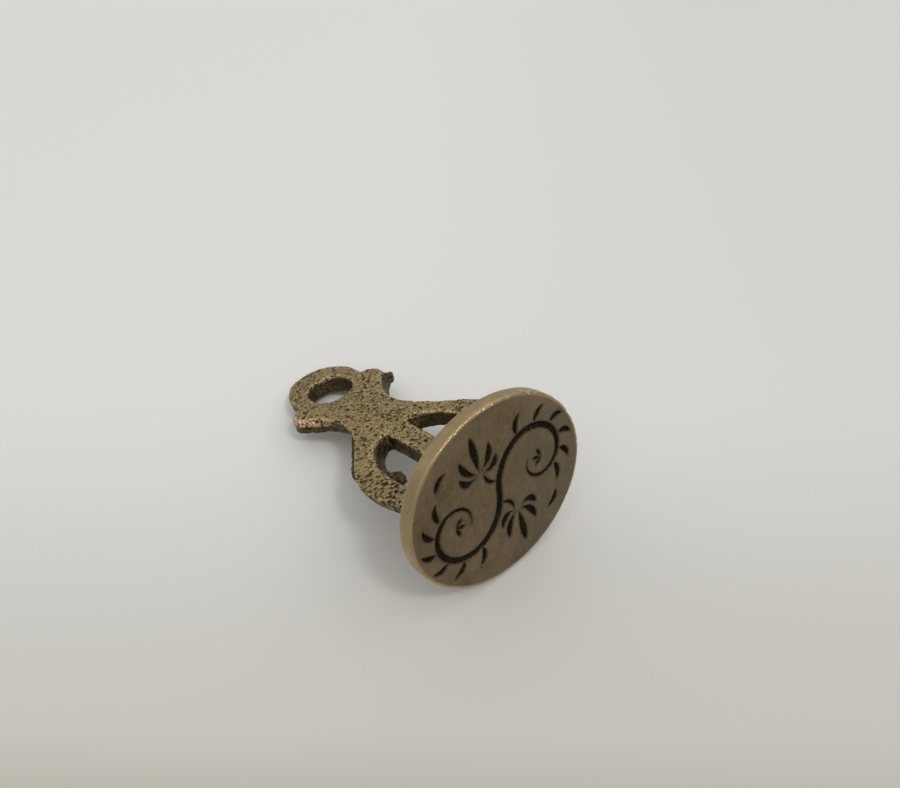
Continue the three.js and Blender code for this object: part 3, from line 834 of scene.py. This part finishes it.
def die_finish(colours):
    """Worn satin brass, brushed along the seal's Y axis, with a paler rim, a painted highlight along its
    front edge and blackened cuts.
    """
    f = Finish(bpy.data.materials.new("engraved_brass"))
    where = f.seal_axes()
    patches = f.noise(where, 0.2)
    mottle = f.noise(where, 1.6, detail=4, roughness=0.6)
    brushed = f.noise(f.stretched(where, (26, 0.7, 26)), 1, roughness=0.6)
    hairs = f.noise(f.stretched(where, (9, 0.35, 9)), 1, detail=2)
    crossed = f.noise(f.stretched(where, (0.5, 20, 20)), 1, detail=2)
    face = f.mix(f.ramp(patches, 0.38, 0.66, 0, 0.4), colours.die_brass, colours.patina_and_shade)
    face = f.mix(f.ramp(f.noise(where, 0.12, detail=2), 0.42, 0.6, 0, 0.07), face, colours.copper)
    face = f.mix(f.ramp(brushed, 0.52, 0.7, 0, 0.4), face, colours.rim_brass)
    face = f.mix(f.ramp(hairs, 0.58, 0.7, 0, 0.45), face, colours.patina_and_shade)
    face = f.mix(f.ramp(mottle, 0.45, 0.3, 0, 0.3), face, colours.rim_brass)
    rim = f.mix(f.ramp(patches, 0.45, 0.65, 0, 0.4), colours.rim_brass, colours.copper)
    # Painted highlight: a little bright brass along the polished front edge
    rim = f.mix(f.times(f.attribute("shine"), 0.1), rim, colours.rubbed_brass_and_highlight)
    film = f.add("ShaderNodeVectorMath", {0: where, 1: FILM_SIDE}, operation="DOT_PRODUCT")
    film = f.plus(film.outputs["Value"], f.ramp(patches, 0.3, 0.7, -4, 4))
    face = f.mix(f.ramp(film, -3, 9, 0, 0.5), face, colours.film)
    metal = f.mix(f.attribute("rim"), face, rim)
    metal = f.mix(f.ramp(mottle, 0.6, 0.78, 0, 0.5), metal, colours.patina_and_shade)
    ragged = f.plus(f.attribute("cut_edge"), f.ramp(f.noise(where, 7), 0.3, 0.7, -0.025, 0.025))
    filled = f.ramp(ragged, 0.0, 0.06)
    metal = f.mix(f.ramp(ragged, -0.22, 0.02, 0, 0.6), metal, colours.patina_and_shade)
    thin = f.ramp(f.noise(where, 5, detail=2), 0.5, 0.75, 0, 0.6)
    polish = f.plus(f.times(f.attribute("rim"), 0.08), f.times(f.attribute("shine"), 0.1))
    worn = f.minus(f.ramp(mottle, 0.3, 0.8, 0.34, 0.46), polish)
    scratches = f.bump(f.plus(brushed, f.times(crossed, 0.3)), 0.012)
    looks = {
        "Base Color": f.mix(filled, metal, f.mix(thin, colours.blacking, colours.patina_and_shade)),
        "Metallic": f.ramp(filled, 0, 1, 0.95, 0.0),
        "Specular IOR Level": f.ramp(filled, 0, 1, 0.5, 0.06),
        "Roughness": f.math("MAXIMUM", worn, f.times(filled, 0.6)),
        "Normal": f.bump(f.noise(where, 3, detail=4), 0.02, 0.6, scratches),
    }
    return f.finished(looks)


def cast_finish(colours):
    """Cast brass: dark in the pits and on the openings' flanks, where there is both dark oxide and painted
    shade, with painted shade in the valleys of the bump noise, painted highlights round the pits and
    painted glints on the front edges; rubbed bright on the high places.
    """
    f = Finish(bpy.data.materials.new("pitted_cast_brass"))
    where = f.seal_axes()
    flank_oxide_and_shade, edge, rub = f.attribute("flank_oxide_and_shade"), f.attribute("edge"), f.attribute("rub")
    patches = f.noise(where, 0.35)
    grain = f.noise(where, 4, detail=4, roughness=0.65)
    sway = f.add("ShaderNodeTexNoise", {"Vector": where, "Scale": 4.5, "Detail": 2}).outputs["Color"]
    values = {0: sway, 1: (0.5, 0.5, 0.5), 2: where}
    swayed = f.add("ShaderNodeVectorMath", values, operation="MULTIPLY_ADD").outputs[0]
    cells = f.add("ShaderNodeTexVoronoi", {"Vector": swayed, "Scale": 2.5})
    depth = f.minus(f.times(cells.outputs["Color"], 0.53), cells.outputs["Distance"])
    hollow = f.math("MAXIMUM", f.ramp(f.attribute("pit"), 0.04, 0.5), f.ramp(depth, -0.03, 0.1))
    # Painted highlight: a bright ring round each pit, where it would catch the light
    painted_pit_highlight = f.minus(f.ramp(depth, -0.15, -0.03, 0, 0.7), hollow)
    metal = f.mix(f.ramp(patches, 0.4, 0.7, 0, 0.7), colours.cast_brass, colours.tarnish)
    metal = f.mix(f.ramp(grain, 0.52, 0.7, 0, 0.5), metal, colours.rubbed_brass_and_highlight)
    metal = f.mix(f.ramp(grain, 0.48, 0.33, 0, 0.7), metal, colours.patina_and_shade)
    relief_and_painted_shade = f.noise(where, 2.6, detail=4, roughness=0.6, distortion=0.8)
    # Painted shade: dark dirt colour in the valleys of the bump noise
    metal = f.mix(f.ramp(relief_and_painted_shade, 0.49, 0.36, 0, 0.75), metal, colours.pit_dirt_and_shade)
    metal = f.mix(painted_pit_highlight, metal, colours.rubbed_brass_and_highlight)
    # Rubbed edges with painted glints: bright brass in patches along the front edges
    metal = f.mix(f.times(edge, f.ramp(grain, 0.4, 0.65, 0, 0.7)), metal, colours.rubbed_brass_and_highlight)
    # Painted shade and dark oxide on the walls and the back edges
    metal = f.mix(f.times(flank_oxide_and_shade, 0.88), metal, colours.patina_and_shade)
    metal = f.mix(f.times(rub, f.ramp(grain, 0.4, 0.58, 0.15, 0.95)), metal, colours.copper)
    filled = f.times(hollow, f.ramp(f.noise(where, 1.1), 0.35, 0.6, 0.8, 1))
    polish = f.plus(f.times(edge, 0.18), f.times(rub, 0.12))
    looks = {
        "Base Color": f.mix(filled, metal, colours.pit_dirt_and_shade),
        "Metallic": f.ramp(filled, 0, 1, 0.95, 0.7),
        "Roughness": f.minus(f.ramp(f.plus(hollow, grain), 0.3, 1.3, 0.34, 0.66), polish),
        "Normal": f.bump(f.minus(f.plus(grain, relief_and_painted_shade), hollow), 0.11, 0.9),
    }
    return f.finished(looks)


def solder_finish(colours):
    """Dull, slightly pale solder with flux stains."""
    f = Finish(bpy.data.materials.new("hard_solder"))
    where = f.seal_axes()
    stains = f.noise(where, 1.3, detail=4)
    grain = f.noise(where, 6)
    metal = f.mix(f.ramp(stains, 0.4, 0.6), colours.solder, colours.tarnish)
    looks = {
        "Base Color": f.mix(f.ramp(grain, 0.5, 0.7, 0, 0.6), metal, colours.patina_and_shade),
        "Metallic": 0.9,
        "Roughness": f.ramp(grain, 0.3, 0.7, 0.28, 0.42),
        "Normal": f.bump(stains, 0.03),
    }
    return f.finished(looks)


def table_finish(card, shade):
    """Matt pale card, with painted shade: a little darker and warmer just in front of the seal and to the
    right.
    """
    f = Finish(bpy.data.materials.new("pale_card"))
    where = f.add("ShaderNodeTexCoord", {}).outputs["Object"]
    facing = f.add("ShaderNodeMapping", {"Vector": where, "Rotation": (0, 0, CARD_TURN)}).outputs[0]
    split = f.add("ShaderNodeSeparateXYZ", {0: facing})
    towards, across = split.outputs[0], split.outputs[1]
    # Painted shade: darker in a band in front of the seal and towards the right
    fall = f.plus(f.ramp(towards, -0.012, 0.03, 0, 0.55), f.ramp(towards, 0.027, 0.036, 0, 0.45))
    fall = f.times(fall, f.ramp(towards, 0.038, 0.08, 1, 0))
    pale = f.times(f.minus(1, fall), f.ramp(across, -0.01, 0.055, 1, 0.79))
    paint = f.mix(f.minus(1, pale), card, shade)
    return f.finished({"Base Color": paint, "Roughness": 0.9, "Specular IOR Level": 0.2})


# Settings that a user changes


def length(name, description, default):
    """A length, with its default in millimetres."""
    options = {"default": default * MM, "unit": "LENGTH", "precision": 5}
    return bpy.props.FloatProperty(name=name, description=description, **options)


def angle(name, description, default):
    """An angle, with its default in degrees."""
    options = {"default": math.radians(default), "unit": "ROTATION"}
    return bpy.props.FloatProperty(name=name, description=description, **options)


def colour(name, description, default):
    """A colour, with its default as three numbers."""
    limits = {"subtype": "COLOR", "size": 3, "min": 0, "max": 1}
    return bpy.props.FloatVectorProperty(name=name, description=description, default=default, **limits)


class DieSettings(bpy.types.PropertyGroup):
    half_width: length("Half width", "Half of the oval's long axis", 10.0)
    half_height: length("Half height", "Half of the oval's short axis", 8.9)
    cut_depth: length("Cut depth", "Depth of the widest engraved strokes", 0.34)
    cells: bpy.props.IntProperty(
        name="Cells", description="Cells along each side of the face's grid", default=272
    )


class HandleSettings(bpy.types.PropertyGroup):
    thickness: length("Thickness", "Thickness of the casting", 1.8)
    edge: length("Edge radius", "Radius of the casting's edges", 0.22)
    eye_radius: length("Eye radius", "Radius of the eye at the front", 2.5)
    step: length("Mesh step", "Spacing of the grid that the casting is meshed on", 0.103)


class SolderSettings(bpy.types.PropertyGroup):
    reach: length("Reach", "How far the solder runs out on the die", 0.6)
    height: length("Height", "How far the solder climbs the foot", 0.75)


class ColourSettings(bpy.types.PropertyGroup):
    die_brass: colour("Die brass", "Brushed brass of the die's face", (0.174, 0.13, 0.077))
    film: colour("Film", "Greyer film over the lower side of the die's face", (0.118, 0.108, 0.075))
    rim_brass: colour("Rim brass", "Smoother, paler brass of the die's rim", (0.335, 0.25, 0.134))
    cast_brass: colour("Cast brass", "Brass of the handle", (0.378, 0.279, 0.128))
    # Also the colour of painted highlights round the pits, along the die's front edge and on the casting's
    # glinting edges
    rubbed_brass_and_highlight: colour("Bright brass", "Brass where it is rubbed bright", (0.62, 0.485, 0.265))
    tarnish: colour("Tarnish", "Browner brass in broad patches", (0.25, 0.185, 0.1))
    # On the casting's walls and back edges this colour is also painted shade
    patina_and_shade: colour("Patina", "Dark film beside cuts and on flanks", (0.066, 0.05, 0.026))
    blacking: colour("Blacking", "Deposit in the cuts", (0.010, 0.0065, 0.004))
    # Also painted shade in the valleys of the casting's bump noise
    pit_dirt_and_shade: colour("Grime", "Brown deposit in the casting's pits", (0.052, 0.032, 0.009))
    copper: colour("Copper", "Reddish brass of the rubbed horn", (0.84, 0.55, 0.34))
    solder: colour("Solder", "Pale hard solder", (0.40, 0.31, 0.165))


class StageSettings(bpy.types.PropertyGroup):
    card: colour("Card", "Colour of the table", (0.74, 0.735, 0.725))
    # The shade colour is painted shade on the table in front of the seal
    shade: colour("Shade", "Colour of the table in front of the seal", (0.49, 0.472, 0.415))
    azimuth: angle("Azimuth", "Side from which the camera looks, from +X", -40.06)
    elevation: angle("Elevation", "Height of the camera as an angle", 44.44)
    roll: angle("Roll", "Turn of the camera about its axis", 2.63)
    distance: length("Distance", "Distance from the camera to the table along its axis", 100.65)


# Operators


class SEAL_OT_die_plate(bpy.types.Operator):
    """Build the engraved die plate"""

    bl_idname = "seal.die_plate"
    bl_label = "Die plate"

    def execute(self, context):
        s = context.scene.seal_die
        halves = np.array([s.half_width, s.half_height]) / MM
        points, faces, marks = die_shape(halves, s.cut_depth / MM, s.cells)
        finish = die_finish(context.scene.seal_colours)
        new_piece("engraved_die", points, faces, finish, "die_plate", marks)
        return {"FINISHED"}


class SEAL_OT_handle(bpy.types.Operator):
    """Build the pitted openwork handle"""

    bl_idname = "seal.handle"
    bl_label = "Openwork handle"

    def execute(self, context):
        s = context.scene.seal_handle
        sizes = (s.thickness / MM, s.edge / MM, s.eye_radius / MM, s.step / MM)
        points, quads, marks = handle_shape(*sizes)
        finish = cast_finish(context.scene.seal_colours)
        new_piece("cast_handle", points, [quads], finish, "openwork_handle", marks)
        return {"FINISHED"}


class SEAL_OT_solder(bpy.types.Operator):
    """Build the solder round the three feet"""

    bl_idname = "seal.solder"
    bl_label = "Solder"

    def execute(self, context):
        s = context.scene.seal_solder
        thickness = context.scene.seal_handle.thickness / MM
        finish = solder_finish(context.scene.seal_colours)
        for foot, side in ((-1, "left"), (0, "middle"), (1, "right")):
            points, faces = solder_shape(foot, thickness, s.reach / MM, s.height / MM)
            new_piece(f"{side}_solder", points, faces, finish, f"solder_{side}_foot")
        return {"FINISHED"}


class SEAL_OT_stage(bpy.types.Operator):
    """Lay the pale table, hang the soft light and place the camera"""

    bl_idname = "seal.stage"
    bl_label = "Table, light and camera"

    def execute(self, context):
        s = context.scene.seal_stage
        lay_table(s.card, s.shade)
        hang_lights()
        place_camera(s.azimuth, s.elevation, s.roll, s.distance)
        context.scene.view_settings.view_transform = "Standard"
        return {"FINISHED"}


TABLE_HALF = 1.2
CAMERA_AIM = Vector((-0.00456, 0.01088, 0.0))  # where the camera's axis meets the table
SENSOR_WIDTH = 36.0
LENS = 36.0

# Each lamp's name, azimuth and elevation in degrees, distance, size, power and tint
LAMPS = (
    ("ceiling_lamp", 4, 60, 1.4, 0.25, 3.5, (1.0, 0.98, 0.95)),
    ("window", -160, 14, 0.8, 0.2, 0.12, (1.0, 0.96, 0.93)),
    ("bright_wall", 118, 30, 2.7, 1.5, 3.6, (1.0, 0.985, 0.965)),
)
ROOM_AROUND = (0.38, 0.378, 0.37)
ROOM_ABOVE = (0.88, 0.875, 0.865)


def lay_table(card, shade):
    mesh = bpy.data.meshes.new("table")
    corners = [(x * TABLE_HALF, y * TABLE_HALF, 0) for x, y in ((-1, -1), (1, -1), (1, 1), (-1, 1))]
    mesh.from_pydata(corners, [], [(0, 1, 2, 3)])
    mesh.materials.append(table_finish(card, shade))
    set_down("table", mesh)


def direction(azimuth, elevation):
    """The unit vector at an azimuth from +X and an elevation."""
    level = math.cos(elevation)
    return Vector((level * math.cos(azimuth), level * math.sin(azimuth), math.sin(elevation)))


def aimed(location, target, roll=0.0):
    """Matrix of an object that looks along its -Z from a location at a target, turned by the roll."""
    forward = (target - location).normalized()
    level = forward.cross(Vector((0, 0, 1))).normalized()
    upright = level.cross(forward)
    up = upright * math.cos(roll) + level * math.sin(roll)
    right = forward.cross(up)
    turn = Matrix((right, up, -forward)).transposed().to_4x4()
    return Matrix.Translation(location) @ turn


def hang_lights():
    """Round lamps that shine on the seal, in a room that is bright above and dim around."""
    for name, azimuth, elevation, distance, size, power, tint in LAMPS:
        lamp = bpy.data.lights.new(name, "AREA")
        lamp.shape = "DISK"
        lamp.size = size
        lamp.energy = power
        lamp.color = tint
        away = direction(math.radians(azimuth), math.radians(elevation))
        set_down(name, lamp).matrix_world = aimed(away * distance, Vector((0, 0, 0)))
    room = Finish(bpy.data.worlds.new("soft_room"), "Background")
    upward = room.add("ShaderNodeTexCoord", {}).outputs["Generated"]
    height = room.add("ShaderNodeSeparateXYZ", {0: upward}).outputs[2]
    climb = room.add("ShaderNodeMapRange", {"Value": height, "From Min": 0.0, "From Max": 0.8})
    tint = room.mix(climb.outputs[0], ROOM_AROUND, ROOM_ABOVE)
    bpy.context.scene.world = room.finished({"Color": tint})


def place_camera(azimuth, elevation, roll, distance):
    lens = bpy.data.cameras.new("camera")
    lens.sensor_width = SENSOR_WIDTH
    lens.lens = LENS
    lens.clip_start = 0.005
    camera = set_down("camera", lens)
    camera.matrix_world = aimed(CAMERA_AIM + direction(azimuth, elevation) * distance, CAMERA_AIM, roll)
    bpy.context.scene.camera = camera


class SEAL_PT_sidebar(bpy.types.Panel):
    """Lists the seal's sizes, colours and builders"""

    bl_label = "Seal"
    bl_idname = "SEAL_PT_sidebar"
    bl_space_type = "VIEW_3D"
    bl_region_type = "UI"
    bl_category = "Seal"

    def draw(self, context):
        for operator in OPERATORS:
            self.layout.operator(operator.bl_idname)
        for name, group in SETTINGS.items():
            for key in group.__annotations__:
                self.layout.prop(getattr(context.scene, name), key)


SETTINGS = {
    "seal_die": DieSettings,
    "seal_handle": HandleSettings,
    "seal_solder": SolderSettings,
    "seal_colours": ColourSettings,
    "seal_stage": StageSettings,
}
OPERATORS = (SEAL_OT_die_plate, SEAL_OT_handle, SEAL_OT_solder, SEAL_OT_stage)


def register():
    for group in (*SETTINGS.values(), *OPERATORS, SEAL_PT_sidebar):
        bpy.utils.register_class(group)
    for name, group in SETTINGS.items():
        setattr(bpy.types.Scene, name, bpy.props.PointerProperty(type=group))


def unregister():
    for name in SETTINGS:
        delattr(bpy.types.Scene, name)
    for group in reversed((*SETTINGS.values(), *OPERATORS, SEAL_PT_sidebar)):
        bpy.utils.unregister_class(group)


def main():
    register()
    bpy.ops.seal.die_plate()
    bpy.ops.seal.handle()
    bpy.ops.seal.solder()
    bpy.ops.seal.stage()


if __name__ == "__main__":
    main()
